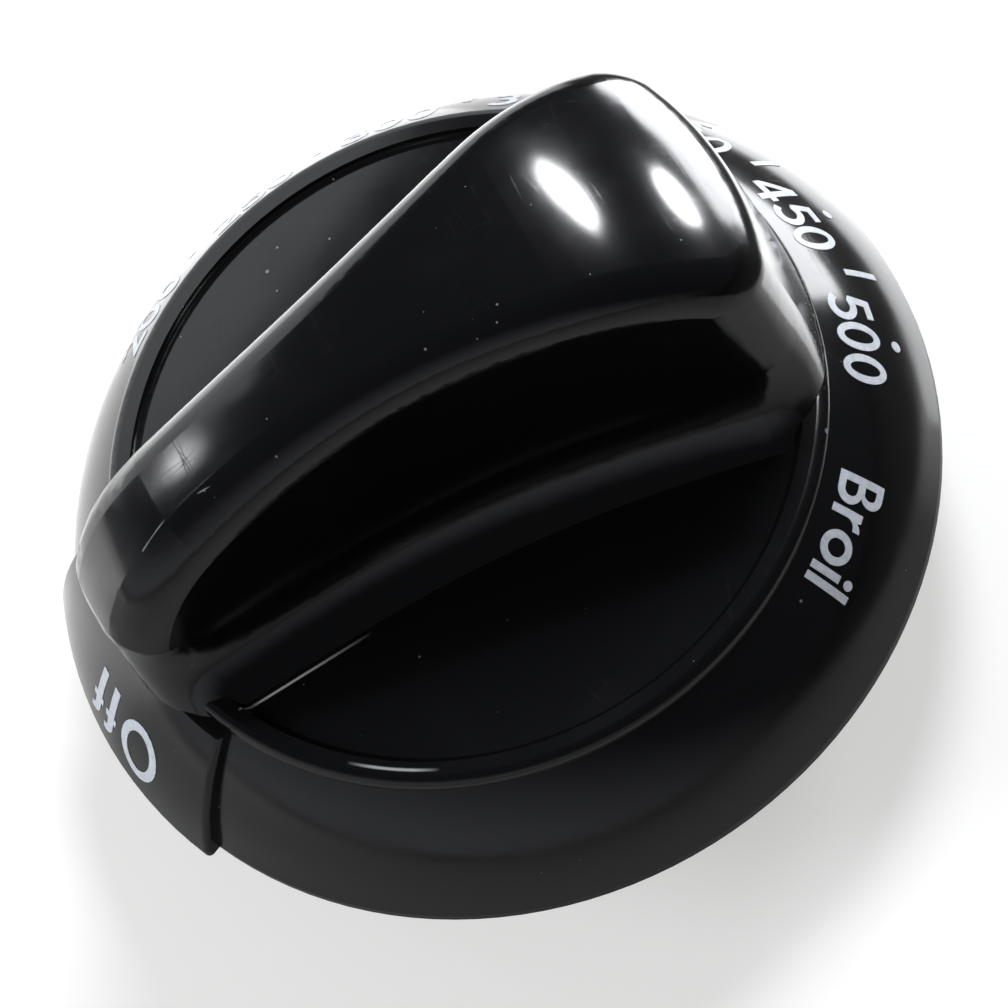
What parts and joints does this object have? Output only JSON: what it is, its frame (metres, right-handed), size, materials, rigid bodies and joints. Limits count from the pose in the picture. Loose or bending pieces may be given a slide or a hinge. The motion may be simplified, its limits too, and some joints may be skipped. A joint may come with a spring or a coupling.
{
  "type": "oven control knob",
  "caption": "Black round oven control knob with a tall tapered grip, a sloping skirt with printed temperatures, a raised Off pad and a shaft socket behind.",
  "frame": {"origin": "centre of the shaft socket's mouth, at the stem's flat end", "axes": "+Z out of the knob's face along the shaft's axis, +Y towards the Off mark and the grip's narrow end"},
  "size_m": [0.06, 0.0609, 0.04],
  "materials": {
    "black_plastic": "moulded high gloss, light wear",
    "spring_steel": "plain spring strip"
  },
  "bodies": {
    "root": {"knob_body": "black_plastic", "shaft_spring_clip": "spring_steel"}
  },
  "joints": []
}
